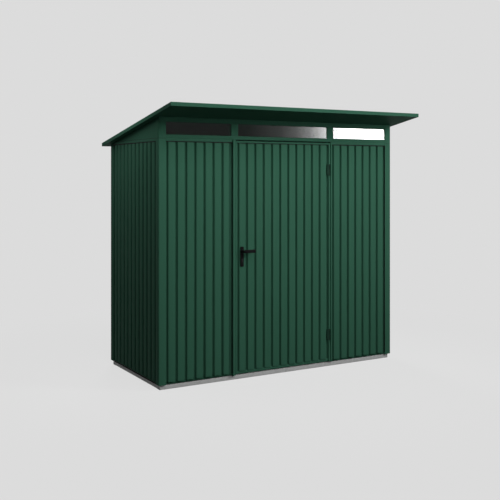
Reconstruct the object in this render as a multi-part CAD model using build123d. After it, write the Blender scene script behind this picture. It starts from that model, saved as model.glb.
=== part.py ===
from build123d import *
from math import atan2, tan
import os

# Sheet-steel storage shed with a pent roof, a row of windows over the door and a galvanised base.
# Millimetres. +X runs right along the front, +Y from the front to the rear, +Z up.
# The origin lies on the ground, under the middle of the roof.

# Walls, measured over their outer faces
wall_width = 2380
wall_depth = 1080
seam_height = 2027
rail_height = 27
corner_post_width = 64
post_sheet = 1.5

# Ribbed wall sheets: flat ribs between narrow grooves
rib_pitch = 84
groove_mouth = 24
groove_floor = 12
groove_depth = 16
groove_edge_inset = 8
edge_recess = 35
last_rib_cut = 9
wall_sheet = 1
panel_lift = 20
panel_top_gap = 5

# Sills under the wall sheets and rails over them
frame_bar_depth = 40
sill_height = 40
rail_flange_drop = 15
rear_strip_width = 22

# Galvanised base and floor
base_height = 40
base_inset = 18
base_rail_width = 60
base_sheet = 2
joist_width = 40
joist_count = 2
deck_thickness = 3

# Roof
roof_fall = 189
roof_front_overhang = 340
roof_rear_overhang = 100
roof_side_overhang = 50
fascia_height = 28
fascia_sheet = 1.5
fascia_lip = 26
soffit_sheet = 1
roof_sheet = 1
roof_sheet_count = 3
roof_rib_count = 4
roof_rib_foot = 46
roof_rib_crown = 22
roof_rib_height = 20
gable_sheet = 1.5
gable_setback = 3
gable_foot_gap = 3
gable_tip_height = 8

# Window row
window_sill_height = 31
pane_height = 101
window_head_height = 41
mullion_width = 68
mullion_stand_out = 13
pane_thickness = 4
pane_setback = 14

# Door leaf and the frame it closes on
door_width = 978
leaf_thickness = 36
door_side_gap = 6
door_bottom_gap = 6
door_top_gap = 9
stile_width = 15
door_edge_recess = 29
door_last_rib_cut = 0
door_top_rail_height = 16
door_panel_top_gap = 3
door_bottom_rail_height = 25
lock_jamb_width = 25
hinge_jamb_width = 15
door_post_width = 55
door_head_height = 40
leaf_rear_gap = 5

# Lift-off hinges
hinge_height = 100
hinge_end_distance = 242
pin_radius = 4
pin_clearance = 0.05
knuckle_radius = 6.5
knuckle_gap = 0.5
hinge_plate_sheet = 3
hinge_plate_width = 50
hinge_plate_edge = 5
lug_sheet = 2.5
lug_depth = 30

# Lever handle and lock
handle_axis_height = 1084
handle_backset = 59
plate_width = 32
plate_height = 170
plate_thickness = 8
plate_corner = 8
plate_above_axis = 39
spindle_radius = 4
spindle_clearance = 0.05
spindle_bite = 26
lever_gap = 0.5
lever_reach = 50
lever_length = 106
lever_height = 29
lever_thickness = 12
lever_corner = 8
neck_radius = 9
lock_case_width = 86
lock_case_margin = 12
key_distance = 72
key_barrel_radius = 8.5
key_tail_width = 10
key_tail_height = 20
key_stand_out = 2
sheet_hole_clearance = 3

# One overrun serves every cut
overrun = 10

# Places that follow from the sizes
half_width = wall_width / 2
front_y = roof_front_overhang - (roof_front_overhang + wall_depth + roof_rear_overhang) / 2
rear_y = front_y + wall_depth
mid_y = front_y + wall_depth / 2
roof_front_y = front_y - roof_front_overhang
roof_rear_y = rear_y + roof_rear_overhang
roof_half = half_width + roof_side_overhang
roof_slope = roof_fall / wall_depth
post_face = half_width - corner_post_width
sheet_back = groove_depth + wall_sheet
panel_bottom = base_height + panel_lift
panel_top = seam_height - rail_height

jamb_outer = (door_width + 2 * door_side_gap + lock_jamb_width + hinge_jamb_width) / 2
lock_jamb_inner = lock_jamb_width - jamb_outer
hinge_jamb_inner = jamb_outer - hinge_jamb_width
leaf_left = lock_jamb_inner + door_side_gap
leaf_right = hinge_jamb_inner - door_side_gap
leaf_bottom = base_height + door_bottom_gap
leaf_top = seam_height - door_top_gap
door_post_inner = jamb_outer - door_post_width
door_post_front = leaf_thickness + leaf_rear_gap
lock_stile_inner = leaf_left + stile_width
hinge_stile_inner = leaf_right - stile_width

pane_bottom = seam_height + window_sill_height
pane_top = pane_bottom + pane_height
front_soffit_height = pane_top + window_head_height
mullion_centre = jamb_outer + mullion_stand_out - mullion_width / 2

pin_x = leaf_right + door_side_gap / 2
pin_y = front_y - knuckle_radius - knuckle_gap
hinge_heights = (leaf_bottom + hinge_end_distance, leaf_top - hinge_end_distance)

handle_x = leaf_left + handle_backset
plate_middle = handle_axis_height + plate_above_axis - plate_height / 2
key_height = handle_axis_height - key_distance

# Each wall's own frame: X along the wall from its middle, Y inwards from its outer face
front_wall = Pos(0, front_y, 0)
rear_wall = Pos(0, rear_y, 0) * Rot(0, 0, 180)
right_wall = Pos(half_width, mid_y, 0) * Rot(0, 0, 90)
left_wall = Pos(-half_width, mid_y, 0) * Rot(0, 0, -90)


def soffit_height(y):
    """Height of the roof's underside above the ground at depth y."""
    return front_soffit_height - roof_slope * (y - front_y)


def span_box(x0, x1, y0, y1, z0, z1):
    """Box between two corners."""
    centre = Pos((x0 + x1) / 2, (y0 + y1) / 2, (z0 + z1) / 2)
    return centre * Box(x1 - x0, y1 - y0, z1 - z0)


def prism_along_x(points, x0, x1):
    """Outline given as (y, z) points, carried along X."""
    outline = Plane.YZ.offset(x0) * make_face(Polyline(*points, close=True))
    return extrude(outline, x1 - x0)


def tube_along_x(points, x0, x1, wall):
    """Folded hollow bar: an outline of (y, z) points with a wall of even thickness, carried along X."""
    outer = make_face(Polyline(*points, close=True))
    hollow = outer - offset(outer, -wall, kind=Kind.INTERSECTION)
    return extrude(Plane.YZ.offset(x0) * hollow, x1 - x0)


def post(x0, x1, y0, y1, z0, z1):
    """Upright folded tube, open at both ends."""
    hollow = span_box(x0 + post_sheet, x1 - post_sheet, y0 + post_sheet, y1 - post_sheet,
                      z0 - overrun, z1 + overrun)
    return span_box(x0, x1, y0, y1, z0, z1) - hollow


def roof_space():
    """Everything above the roof's underside, used to cut the walls to the slope."""
    front, rear = roof_front_y - overrun, roof_rear_y + overrun
    top = soffit_height(front) + overrun
    outline = [(front, soffit_height(front)), (rear, soffit_height(rear)), (rear, top), (front, top)]
    return prism_along_x(outline, -roof_half - overrun, roof_half + overrun)


def fold_line(centres, wide, narrow, height, set_off):
    """Bend points of a trapezoid at each centre, for the face that lies set_off behind the first one.

    A face set off by t keeps its distance from the flats and the slopes alike when every bend moves
    away from the trapezoid's centre by t times the tangent of half the bend's angle.
    """
    shift = set_off * tan(atan2(height, (wide - narrow) / 2) / 2)
    half_wide, half_narrow = wide / 2 + shift, narrow / 2 + shift
    low, high = set_off, height + set_off
    bends = []
    for centre in centres:
        bends += [(centre - half_wide, low), (centre - half_narrow, high)]
        bends += [(centre + half_narrow, high), (centre + half_wide, low)]
    return bends


def ribbed_sheet(u0, u1, z0, z1, recess=edge_recess, rib_cut=last_rib_cut):
    """Wall sheet between two posts: even ribs between grooves, and a groove's floor along both edges.

    The floor along the right edge is wider, and the last rib before it narrower.
    """
    first = u0 + groove_edge_inset
    last_bend = u1 - recess
    span = last_bend + rib_cut + groove_mouth / 2 - first
    ribs = max(1, round(span / rib_pitch))
    centres = [first + span * k / ribs for k in range(ribs)] + [last_bend + groove_mouth / 2]
    faces = []
    for set_off in (0, wall_sheet):
        bends = fold_line(centres, groove_mouth, groove_floor, groove_depth, set_off)[2:-2]
        floor = groove_depth + set_off
        faces.append([(u0, floor)] + bends + [(u1, floor)])
    outline = make_face(Polyline(*faces[0], *reversed(faces[1]), close=True))
    return Pos(0, 0, z0) * extrude(outline, z1 - z0)


def base_rail(u0, u1):
    """Base channel, closed towards the outside, its ends, the ground and the wall, open inwards."""
    inner = base_inset + base_rail_width
    body = span_box(u0, u1, base_inset, inner, 0, base_height)
    pocket = span_box(u0 + base_sheet, u1 - base_sheet, base_inset + base_sheet, inner + overrun,
                      base_sheet, base_height - base_sheet)
    return body - pocket


def base_cross_rails():
    """End channels of the base and the joists between them, all from the front rail to the rear one."""
    reach = wall_depth / 2 - base_inset - base_rail_width
    rails = [right_wall * base_rail(-reach, reach), left_wall * base_rail(-reach, reach)]
    half_joist = joist_width / 2
    spacing = (wall_width - 2 * base_inset) / (joist_count + 1)
    for k in range(joist_count):
        middle = (k + 1 - (joist_count + 1) / 2) * spacing
        x0, x1 = middle - half_joist, middle + half_joist
        y0, y1 = mid_y - reach, mid_y + reach
        hollow = span_box(x0 + base_sheet, x1 - base_sheet, y0 - overrun, y1 + overrun,
                          base_sheet, base_height - base_sheet)
        rails.append(span_box(x0, x1, y0, y1, 0, base_height) - hollow)
    return rails


def floor_deck():
    """Sheet floor inside the posts, lying on the base."""
    return span_box(-post_face, post_face, front_y + corner_post_width, rear_y - corner_post_width,
                    base_height, base_height + deck_thickness)


def sill(u0, u1):
    """Tube under a wall sheet, set back to the backs of its grooves."""
    rear = sheet_back + frame_bar_depth
    top = base_height + sill_height
    outline = [(sheet_back, base_height), (rear, base_height), (rear, top), (sheet_back, top)]
    return tube_along_x(outline, u0, u1, post_sheet)


def top_rail(u0, u1, sheet_top, top):
    """Rail over a wall sheet: a nose flush with the ribs and a flange behind the grooves."""
    nose, flange, rear = sheet_top + panel_top_gap, sheet_top - rail_flange_drop, sheet_back + frame_bar_depth
    outline = [(0, nose), (0, top), (rear, top), (rear, flange), (sheet_back, flange), (sheet_back, nose)]
    return tube_along_x(outline, u0, u1, post_sheet)


side_reach = wall_depth / 2 - corner_post_width
rear_strip_edge = rear_strip_width / 2
rear_rail_top = soffit_height(rear_y)
rear_panel_top = rear_rail_top - rail_height


def sills():
    """Sills of all walls; the doorway has none."""
    bars = [front_wall * sill(-post_face, -jamb_outer), front_wall * sill(jamb_outer, post_face)]
    bars.append(rear_wall * sill(-post_face, post_face))
    bars += [wall * sill(-side_reach, side_reach) for wall in (left_wall, right_wall)]
    return bars


def top_rails():
    """Rails over all wall sheets, cut to the roof's slope where they reach it."""
    space = roof_space()
    rear_inner_top = soffit_height(rear_y - sheet_back - frame_bar_depth)
    bars = [front_wall * top_rail(-post_face, -jamb_outer, panel_top, seam_height),
            front_wall * top_rail(jamb_outer, post_face, panel_top, seam_height)]
    bars.append(rear_wall * top_rail(-post_face, post_face, rear_panel_top, rear_inner_top) - space)
    for wall in (left_wall, right_wall):
        bars.append(wall * top_rail(-side_reach, side_reach, panel_top, seam_height) - space)
    return bars


def corner_post(side, rear):
    """Corner post from the base to the rail seam in front, or to the roof behind."""
    x0, x1 = sorted((side * post_face, side * half_width))
    if rear:
        tall = post(x0, x1, rear_y - corner_post_width, rear_y, base_height,
                    soffit_height(rear_y - corner_post_width))
        return tall - roof_space()
    return post(x0, x1, front_y, front_y + corner_post_width, base_height, seam_height)


def rear_strip():
    """Cover strip over the joint between the two rear sheets."""
    return rear_wall * span_box(-rear_strip_edge, rear_strip_edge, 0, sheet_back, base_height, rear_panel_top)


def door_post(side):
    """Post behind the edge of the closed leaf."""
    x0, x1 = sorted((side * door_post_inner, side * jamb_outer))
    return post(x0, x1, front_y + door_post_front, front_y + corner_post_width, base_height, seam_height)


def door_jamb(x0, x1):
    """Strip in front of a door post, beside the leaf's edge."""
    return post(x0, x1, front_y, front_y + door_post_front, base_height, seam_height)


def door_head():
    """Bar between the door posts, behind the top of the closed leaf."""
    y0, y1 = front_y + door_post_front, front_y + corner_post_width
    bottom = seam_height - door_head_height
    outline = [(y0, bottom), (y1, bottom), (y1, seam_height), (y0, seam_height)]
    return tube_along_x(outline, -door_post_inner, door_post_inner, post_sheet)


def window_bar(z0, z1):
    """Outline of a bar of the window frame, as (depth, height) points."""
    rear = front_y + frame_bar_depth
    return [(front_y, z0), (rear, z0), (rear, z1), (front_y, z1)]


def window_sill():
    """Lower bar of the window row, between the corner posts."""
    return tube_along_x(window_bar(seam_height, pane_bottom), -post_face, post_face, post_sheet)


def window_head():
    """Upper bar of the window row, its top cut to the roof's slope."""
    rear = front_y + frame_bar_depth
    outline = [(front_y, pane_top), (rear, pane_top), (rear, soffit_height(rear)),
               (front_y, front_soffit_height)]
    return tube_along_x(outline, -post_face, post_face, post_sheet)


def window_corner_post(side):
    """Short post on a front corner post, up to the roof."""
    x0, x1 = sorted((side * post_face, side * half_width))
    tall = post(x0, x1, front_y, front_y + corner_post_width, seam_height, front_soffit_height)
    return tall - roof_space()


def mullion(side):
    """Upright between two panes, over a door post."""
    middle = side * mullion_centre
    half = mullion_width / 2
    return post(middle - half, middle + half, front_y, front_y + frame_bar_depth, pane_bottom, pane_top)


def pane(x0, x1):
    """Window pane between two uprights."""
    front = front_y + pane_setback
    return span_box(x0, x1, front, front + pane_thickness, pane_bottom, pane_top)


def gable(side):
    """Flat wedge between a side rail and the roof, running out towards the rear."""
    face, back = half_width - gable_setback, half_width - gable_setback - gable_sheet
    x0, x1 = sorted((side * face, side * back))
    front = front_y + corner_post_width
    tip = front_y + (front_soffit_height - seam_height - gable_tip_height) / roof_slope
    rear = min(tip, rear_y - corner_post_width)
    foot = seam_height + gable_foot_gap
    outline = [(front, foot), (rear, foot), (rear, soffit_height(rear)), (front, soffit_height(front))]
    return prism_along_x(outline, x0, x1)


def fascia_plan(points):
    """Plan outline of a mitred edge trim, as tall as the roof."""
    low, high = soffit_height(roof_rear_y) - overrun, soffit_height(roof_front_y) + fascia_height + overrun
    return Pos(0, 0, low) * extrude(make_face(Polyline(*points, close=True)), high - low)


def fascia_across(edge_y, inwards):
    """Edge trim along the front or rear: a web and a lip over the roof sheets, mitred at its ends."""
    web, lip = edge_y + inwards * fascia_sheet, edge_y + inwards * fascia_lip
    outline = [(edge_y, soffit_height(edge_y)), (edge_y, soffit_height(edge_y) + fascia_height),
               (lip, soffit_height(lip) + fascia_height),
               (lip, soffit_height(lip) + fascia_height - fascia_sheet),
               (web, soffit_height(web) + fascia_height - fascia_sheet), (web, soffit_height(web))]
    ends = [(-roof_half, edge_y), (roof_half, edge_y), (roof_half - fascia_lip, lip),
            (fascia_lip - roof_half, lip)]
    return prism_along_x(outline, -roof_half, roof_half) & fascia_plan(ends)


def slope_extrude(outline):
    """Outline drawn upright at the roof's front edge, carried down the slope to the rear edge."""
    run = Vector(0, roof_rear_y - roof_front_y, soffit_height(roof_rear_y) - soffit_height(roof_front_y))
    at_front = Plane(origin=(0, roof_front_y, soffit_height(roof_front_y)), x_dir=(1, 0, 0), z_dir=(0, -1, 0))
    return extrude(at_front * outline, run.length, dir=run.normalized())


def fascia_along(side):
    """Edge trim along a side of the roof, with the same web and lip, mitred at its ends."""
    edge, web, lip = (side * (roof_half - inset) for inset in (0, fascia_sheet, fascia_lip))
    under_lip = fascia_height - fascia_sheet
    points = [(edge, 0), (edge, fascia_height), (lip, fascia_height), (lip, under_lip),
              (web, under_lip), (web, 0)]
    ends = [(edge, roof_front_y), (edge, roof_rear_y), (lip, roof_rear_y - fascia_lip),
            (lip, roof_front_y + fascia_lip)]
    return slope_extrude(make_face(Polyline(*points, close=True))) & fascia_plan(ends)


def roof_interior():
    """Plan of the room between the webs of the edge trims."""
    x, y0, y1 = roof_half - fascia_sheet, roof_front_y + fascia_sheet, roof_rear_y - fascia_sheet
    return fascia_plan([(-x, y0), (x, y0), (x, y1), (-x, y1)])


def soffit():
    """Flat sheet that closes the roof from below."""
    x = roof_half - fascia_sheet
    points = [(-x, 0), (x, 0), (x, soffit_sheet), (-x, soffit_sheet)]
    return slope_extrude(make_face(Polyline(*points, close=True))) & roof_interior()


def roof_cover(index):
    """One of the ribbed sheets that lie side by side on the soffit, ribs running down the slope."""
    width = 2 * (roof_half - fascia_sheet) / roof_sheet_count
    x0 = fascia_sheet - roof_half + index * width
    centres = [x0 + width * (2 * k + 1) / (2 * roof_rib_count) for k in range(roof_rib_count)]
    faces = []
    for set_off in (0, roof_sheet):
        bends = fold_line(centres, roof_rib_foot, roof_rib_crown, roof_rib_height, set_off)
        faces.append([(x0, set_off)] + bends + [(x0 + width, set_off)])
    outline = make_face(Polyline(*faces[0], *reversed(faces[1]), close=True))
    return slope_extrude(Pos(0, soffit_sheet, 0) * outline) & roof_interior()


def door_bar(z0, z1):
    """Cross bar of the leaf between its stiles."""
    outline = [(0, z0), (leaf_thickness, z0), (leaf_thickness, z1), (0, z1)]
    return front_wall * tube_along_x(outline, lock_stile_inner, hinge_stile_inner, post_sheet)


def door_stile(x0, x1):
    """Upright tube along an edge of the leaf."""
    return post(x0, x1, front_y, front_y + leaf_thickness, leaf_bottom, leaf_top)


def through_leaf(outline, y0, y1):
    """Outline in (x, z) carried from depth y0 to depth y1 behind the front face."""
    plane = Plane(origin=(0, front_y + y0, 0), x_dir=(1, 0, 0), z_dir=(0, -1, 0))
    return extrude(plane * outline, y0 - y1)


def spindle_hole(radius, y0, y1):
    """Round bar or hole on the lever's axis."""
    return through_leaf(Pos(handle_x, handle_axis_height) * Circle(radius), y0, y1)


def key_profile(margin):
    """Outline of the key cylinder: a round barrel with a straight tail below it."""
    tail = Pos(0, -key_tail_height / 2) * Rectangle(key_tail_width + 2 * margin, key_tail_height + 2 * margin)
    return Pos(handle_x, key_height) * (Circle(key_barrel_radius + margin) + tail)


def door_panel():
    """Ribbed sheet of the leaf, with holes for the spindle and the key cylinder."""
    bottom = leaf_bottom + door_bottom_rail_height
    top = leaf_top - door_top_rail_height - door_panel_top_gap
    sheet = front_wall * ribbed_sheet(lock_stile_inner, hinge_stile_inner, bottom, top,
                                      door_edge_recess, door_last_rib_cut)
    sheet -= spindle_hole(spindle_radius + sheet_hole_clearance, -overrun, sheet_back + overrun)
    return sheet - through_leaf(key_profile(sheet_hole_clearance), -overrun, sheet_back + overrun)


def lock_case():
    """Lock housing beside the stile, between the sheet and the inner handle plate."""
    x0 = lock_stile_inner
    z0 = plate_middle - plate_height / 2 - lock_case_margin
    z1 = plate_middle + plate_height / 2 + lock_case_margin
    case = span_box(x0, x0 + lock_case_width, front_y + sheet_back, front_y + leaf_thickness, z0, z1)
    case -= spindle_hole(spindle_radius + spindle_clearance, 0, leaf_thickness + overrun)
    return case - through_leaf(key_profile(0), 0, leaf_thickness + overrun)


def handle_plate(y0, y1):
    """Handle plate with rounded corners and holes for the spindle and the key cylinder."""
    outline = Pos(handle_x, plate_middle) * RectangleRounded(plate_width, plate_height, plate_corner)
    plate = through_leaf(outline, y0, y1)
    plate -= spindle_hole(spindle_radius + spindle_clearance, y0 - overrun, y1 + overrun)
    return plate - through_leaf(key_profile(0), y0 - overrun, y1 + overrun)


outer_plate_face = -plate_thickness
inner_plate_face = leaf_thickness + plate_thickness


def lever(face, outwards):
    """Lever handle: a round neck that leaves the plate square, and a flat grip along the door."""
    foot, front = face + outwards * lever_gap, face + outwards * lever_reach
    back = front - outwards * lever_thickness
    left, tip = handle_x - lever_height / 2, handle_x + lever_length
    grip = RectangleRounded(tip - left, lever_height, lever_corner)
    outline = Pos((left + tip) / 2, handle_axis_height) * grip
    bar = spindle_hole(neck_radius, *sorted((foot, back))) + through_leaf(outline, *sorted((back, front)))
    depths = sorted((face - outwards * overrun, face + outwards * spindle_bite))
    return bar - spindle_hole(spindle_radius, *depths)


def spindle():
    """Round bar through the lock that carries both levers."""
    return spindle_hole(spindle_radius, outer_plate_face - spindle_bite, inner_plate_face + spindle_bite)


def key_cylinder():
    """Key cylinder through both plates and the lock."""
    return through_leaf(key_profile(0), outer_plate_face - key_stand_out, inner_plate_face + key_stand_out)


def upright_rod(radius, z0, z1):
    """Rod or hole on the hinge axis."""
    return Pos(pin_x, pin_y, (z0 + z1) / 2) * Cylinder(radius, z1 - z0)


def hinge_pin(middle):
    """Hinge half on the jamb: a lug in the gap beside the leaf, the lower knuckle and the pin."""
    bottom, top = middle - hinge_height / 2, middle + hinge_height / 2
    lug = span_box(hinge_jamb_inner - lug_sheet, hinge_jamb_inner, pin_y, front_y + lug_depth, bottom, middle)
    return lug + upright_rod(knuckle_radius, bottom, middle) + upright_rod(pin_radius, bottom, top)


def hinge_leaf(middle):
    """Hinge half on the door: a plate over the stile and the upper knuckle, which turns on the pin."""
    bottom, top = middle - hinge_height / 2, middle + hinge_height / 2
    edge = leaf_right - hinge_plate_edge
    plate = span_box(edge - hinge_plate_width, edge, front_y - hinge_plate_sheet, front_y, bottom, top)
    lowest = middle + knuckle_gap
    wing = span_box(edge, pin_x, front_y - hinge_plate_sheet, front_y - knuckle_gap, lowest, top)
    knuckle = upright_rod(knuckle_radius, lowest, top)
    bore = upright_rod(pin_radius + pin_clearance, middle - overrun, top + overrun)
    return plate + wing + knuckle - bore


def write(name, *solids):
    """Write the solids of one node to its file."""
    shape = solids[0] if len(solids) == 1 else Compound(children=[Part(s.wrapped) for s in solids])
    export_step(shape, f"parts/{name}.step")


os.makedirs("parts", exist_ok=True)
sides = {"left": -1, "right": 1}

# Base and floor
base_reach = half_width - base_inset
write("base_rail_front", front_wall * base_rail(-base_reach, base_reach))
write("base_rail_rear", rear_wall * base_rail(-base_reach, base_reach))
write("base_cross_rails", *base_cross_rails())
write("floor_deck", floor_deck())

# Frame of the walls
write("wall_sills", *sills())
write("wall_top_rails", *top_rails())
for side_name, side in sides.items():
    write(f"corner_post_front_{side_name}", corner_post(side, rear=False))
    write(f"corner_post_rear_{side_name}", corner_post(side, rear=True))
    write(f"door_post_{side_name}", door_post(side))
write("door_jambs", door_jamb(-jamb_outer, lock_jamb_inner), door_jamb(hinge_jamb_inner, jamb_outer))
write("door_head", door_head())
write("rear_joint_strip", rear_strip())

# Wall sheets
write("front_panel_left", front_wall * ribbed_sheet(-post_face, -jamb_outer, panel_bottom, panel_top))
write("front_panel_right", front_wall * ribbed_sheet(jamb_outer, post_face, panel_bottom, panel_top))
side_sheet = ribbed_sheet(-side_reach, side_reach, panel_bottom, panel_top)
write("right_panel", right_wall * side_sheet)
write("left_panel", left_wall * mirror(side_sheet, about=Plane.YZ))
rear_ends = panel_bottom, rear_panel_top
write("rear_panel_left", rear_wall * ribbed_sheet(rear_strip_edge, post_face, *rear_ends))
write("rear_panel_right", rear_wall * ribbed_sheet(-post_face, -rear_strip_edge, *rear_ends))

# Window row and gables
write("window_sill", window_sill())
write("window_head", window_head())
write("window_corner_posts", *(window_corner_post(side) for side in sides.values()))
write("window_mullions", *(mullion(side) for side in sides.values()))
mullion_faces = mullion_centre - mullion_width / 2, mullion_centre + mullion_width / 2
write("window_pane_left", pane(-post_face, -mullion_faces[1]))
write("window_pane_centre", pane(-mullion_faces[0], mullion_faces[0]))
write("window_pane_right", pane(mullion_faces[1], post_face))
for side_name, side in sides.items():
    write(f"gable_{side_name}", gable(side))

# Roof
write("roof_soffit", soffit())
for index in range(roof_sheet_count):
    write(f"roof_sheet_{index + 1}", roof_cover(index))
write("fascia_front", fascia_across(roof_front_y, 1))
write("fascia_rear", fascia_across(roof_rear_y, -1))
write("fascia_sides", *(fascia_along(side) for side in sides.values()))

# Door
write("door_panel", door_panel())
write("door_stiles", door_stile(leaf_left, lock_stile_inner), door_stile(hinge_stile_inner, leaf_right))
write("door_rails", door_bar(leaf_bottom, leaf_bottom + door_bottom_rail_height),
      door_bar(leaf_top - door_top_rail_height, leaf_top))
write("lock_case", lock_case())
write("handle_plates", handle_plate(outer_plate_face, 0), handle_plate(leaf_thickness, inner_plate_face))
write("key_cylinder", key_cylinder())
write("hinge_leaves", *(hinge_leaf(middle) for middle in hinge_heights))
write("hinge_pins", *(hinge_pin(middle) for middle in hinge_heights))

# Handle
write("lever_outside", lever(outer_plate_face, -1))
write("lever_inside", lever(inner_plate_face, 1))
write("lever_spindle", spindle())
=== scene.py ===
import bmesh
import bpy
import numpy as np
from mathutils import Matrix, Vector


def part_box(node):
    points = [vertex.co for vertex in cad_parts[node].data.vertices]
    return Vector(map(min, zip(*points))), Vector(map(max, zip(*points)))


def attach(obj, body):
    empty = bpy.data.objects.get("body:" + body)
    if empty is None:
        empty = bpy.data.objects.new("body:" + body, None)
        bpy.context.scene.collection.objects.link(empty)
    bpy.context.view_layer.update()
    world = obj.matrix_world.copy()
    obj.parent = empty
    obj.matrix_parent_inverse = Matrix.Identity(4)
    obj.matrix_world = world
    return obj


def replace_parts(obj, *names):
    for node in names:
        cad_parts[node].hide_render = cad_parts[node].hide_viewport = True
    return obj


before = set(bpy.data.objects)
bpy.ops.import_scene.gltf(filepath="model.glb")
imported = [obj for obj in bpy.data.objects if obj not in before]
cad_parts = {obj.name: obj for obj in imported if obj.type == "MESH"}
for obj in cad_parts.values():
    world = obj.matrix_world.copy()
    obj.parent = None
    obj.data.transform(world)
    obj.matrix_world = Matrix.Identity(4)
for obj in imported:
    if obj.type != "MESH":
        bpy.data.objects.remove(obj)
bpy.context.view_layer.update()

# Base and floor. A ring of galvanised channels with two joists carries the shed, and a galvanised
# sheet lies on it as the floor. The channels are folded from sheet and closed at their ends.
ZINC_PALE = (0.470, 0.475, 0.470, 1.0)
ZINC_DARK = (0.340, 0.345, 0.345, 1.0)
ZINC_METALLIC = 0.07
ZINC_SPECULAR = 0.15
SPANGLE_SCALE = 70.0
SPANGLE_HEIGHT = 0.0004
BASE_SHEET = 0.002
BASE_FOLD = 0.004
JOIST_WIDTH = 0.040
SMOOTH_ANGLE = np.radians(35.0)

X, Y, Z = np.eye(3)
front_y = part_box("corner_post_front_left")[0].y
rear_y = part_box("corner_post_rear_left")[1].y
half_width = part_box("corner_post_front_right")[1].x
mid_y = (front_y + rear_y) / 2

# Each wall has its own frame: a point in the middle of its foot, the way along it, inwards and up
walls = {"front": (front_y * Y, X, Y, Z), "rear": (rear_y * Y, -X, -Y, Z),
         "right": (half_width * X + mid_y * Y, Y, -X, Z), "left": (-half_width * X + mid_y * Y, Y, X, Z)}


def feed(node, sockets):
    """Gives each socket, by its name or number, a plain value or the output of another node."""
    for key, value in sockets.items():
        if isinstance(value, bpy.types.NodeSocket):
            node.id_data.links.new(value, node.inputs[key])
        else:
            node.inputs[key].default_value = value
    return node


def add(tree, kind, sockets=None):
    """Adds a shader node of the kind to a node tree and feeds its sockets."""
    return feed(tree.nodes.new("ShaderNode" + kind), sockets or {})


def new_material(name):
    """Empty material, its node tree, its surface shader and the place of each point on the object."""
    material = bpy.data.materials.new(name)
    material.use_nodes = True
    tree = material.node_tree
    return material, tree, tree.nodes["Principled BSDF"], add(tree, "TexCoord").outputs["Object"]


def noise(tree, place, scale, detail, rough=0.5):
    """Cloudy pattern of 0 to 1."""
    sockets = {"Vector": place, "Scale": scale, "Detail": detail, "Roughness": rough}
    return add(tree, "TexNoise", sockets).outputs["Fac"]


def span(tree, source, low, high):
    """Carries a pattern of 0 to 1 to the range from low to high."""
    return add(tree, "MapRange", {"Value": source, "To Min": low, "To Max": high}).outputs["Result"]


def two_tones(tree, source, first, second):
    """Colour that runs from the first tone to the second as a pattern goes from 0 to 1."""
    ramp = add(tree, "ValToRGB", {"Fac": source})
    for stop, tone in zip(ramp.color_ramp.elements, (first, second)):
        stop.color = tone
    return ramp.outputs["Color"]


def reckon(tree, operation, first, second):
    """Result of a sum on two values, each a number or the output of a node."""
    node = add(tree, "Math", {0: first, 1: second})
    node.operation = operation
    return node.outputs["Value"]


def relief(tree, pattern, strength, height):
    """Normal of a surface that a pattern raises, by up to the height."""
    sockets = {"Height": pattern, "Strength": strength, "Distance": height}
    return add(tree, "Bump", sockets).outputs["Normal"]


def galvanised(name):
    """Hot-dip zinc: crystals a finger's breadth wide, each a little lighter or darker and duller."""
    material, tree, shader, place = new_material(name)
    crystals = add(tree, "TexVoronoi", {"Vector": place, "Scale": SPANGLE_SCALE}).outputs
    grey = add(tree, "RGBToBW", {"Color": crystals["Color"]}).outputs["Val"]
    blend = reckon(tree, "MULTIPLY", grey, noise(tree, place, 9.0, 5.0))
    feed(shader, {"Base Color": two_tones(tree, blend, ZINC_PALE, ZINC_DARK),
                  "Roughness": span(tree, grey, 0.38, 0.58),
                  "Normal": relief(tree, crystals["Distance"], 0.08, SPANGLE_HEIGHT),
                  "Metallic": ZINC_METALLIC, "Specular IOR Level": ZINC_SPECULAR})
    return material


def finish_node(node, material):
    """Gives a CAD node its material."""
    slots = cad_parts[node].data.materials
    slots.clear()
    slots.append(material)


def box_outline(low_a, high_a, low_b, high_b):
    """Corners of a rectangle, anticlockwise."""
    return np.array([(low_a, low_b), (high_a, low_b), (high_a, high_b), (low_a, high_b)])


def rounded(points, radius, closed=False, steps=5):
    """Line with arcs for corners: an arc of radius r starts r * tan(turn / 2) before its corner."""
    corner = np.asarray(points, float)
    into = corner - np.roll(corner, 1, axis=0)
    out = np.roll(corner, -1, axis=0) - corner
    into = into / np.linalg.norm(into, axis=1, keepdims=True)
    out = out / np.linalg.norm(out, axis=1, keepdims=True)
    turn = np.arctan2(into[:, 0] * out[:, 1] - into[:, 1] * out[:, 0], (into * out).sum(axis=1))
    left = np.stack([-into[:, 1], into[:, 0]], axis=1)
    side = np.sign(turn)[:, None]
    start = corner - into * radius * np.tan(np.abs(turn) / 2)[:, None]
    centre = start + side * radius * left
    angle = turn[:, None] * np.linspace(0.0, 1.0, steps)
    spoke = np.stack([left[:, :1] * np.cos(angle) - left[:, 1:] * np.sin(angle),
                      left[:, :1] * np.sin(angle) + left[:, 1:] * np.cos(angle)], axis=2)
    arcs = centre[:, None, :] - side[:, None, :] * radius * spoke
    if closed:
        return arcs.reshape(-1, 2)
    return np.concatenate([corner[:1], arcs[1:-1].reshape(-1, 2), corner[-1:]])


def set_off(line, distance, closed=False):
    """Line at an even distance to the left: each point moves along its mitre, (n1 + n2) / (1 + n1 . n2)."""
    edge = np.roll(line, -1, axis=0) - line
    if not closed:
        edge[-1] = edge[-2]
    normal = np.stack([-edge[:, 1], edge[:, 0]], axis=1) / np.linalg.norm(edge, axis=1, keepdims=True)
    before = np.roll(normal, 1, axis=0)
    if not closed:
        before[0] = normal[0]
    mitre = (before + normal) / (1.0 + (before * normal).sum(axis=1, keepdims=True))
    return line + distance * mitre


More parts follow.
